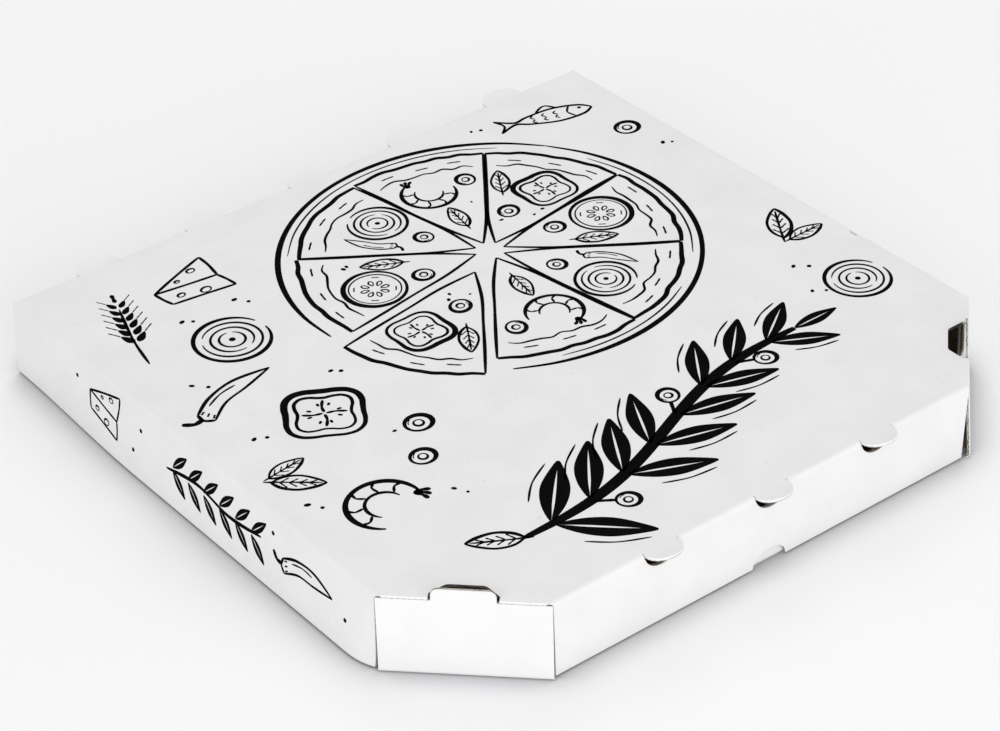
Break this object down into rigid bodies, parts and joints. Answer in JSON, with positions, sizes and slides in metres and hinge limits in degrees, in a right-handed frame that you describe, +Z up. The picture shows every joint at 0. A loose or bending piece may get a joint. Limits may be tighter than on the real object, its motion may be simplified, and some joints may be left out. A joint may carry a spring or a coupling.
{
  "type": "pizza box",
  "caption": "Low square takeaway box of folded white micro-flute board with cut front corners, hinged lid, hanging lid flaps, half-moon vents and corner lock tabs.",
  "frame": {"origin": "on the floor under the middle of the closed box", "axes": "+Z up, -Y towards the front edge between the cut corners, +Y towards the lid's hinge, +X to the right as seen from the front"},
  "size_m": [0.3501, 0.367, 0.045],
  "materials": {
    "white_board": "matt white-lined micro-flute board",
    "black_ink": "matt flexographic ink film"
  },
  "bodies": {
    "base": {"base_tray": "white_board"},
    "lid": {"lid_panel": "white_board", "dish_print": "black_ink", "branch_print": "black_ink", "motif_print": "black_ink"},
    "front_flap": {"front_flap": "white_board"},
    "left_flap": {"left_flap": "white_board", "side_print": "black_ink"},
    "right_flap": {"right_flap": "white_board"}
  },
  "joints": [
    {"name": "lid_fold", "type": "hinge", "parent": "base", "child": "lid", "pos_m": [0, 0.17515, 0.03835], "axis": [-1, 0, 0], "range_deg": [0, 185]},
    {"name": "front_flap_fold", "type": "hinge", "parent": "lid", "child": "front_flap", "pos_m": [0, -0.175, 0.04], "axis": [-1, 0, 0], "range_deg": [0, 90]},
    {"name": "left_flap_fold", "type": "hinge", "parent": "lid", "child": "left_flap", "pos_m": [-0.175, 0, 0.04], "axis": [0, 1, 0], "range_deg": [0, 90]},
    {"name": "right_flap_fold", "type": "hinge", "parent": "lid", "child": "right_flap", "pos_m": [0.175, 0, 0.04], "axis": [0, -1, 0], "range_deg": [0, 90]}
  ]
}
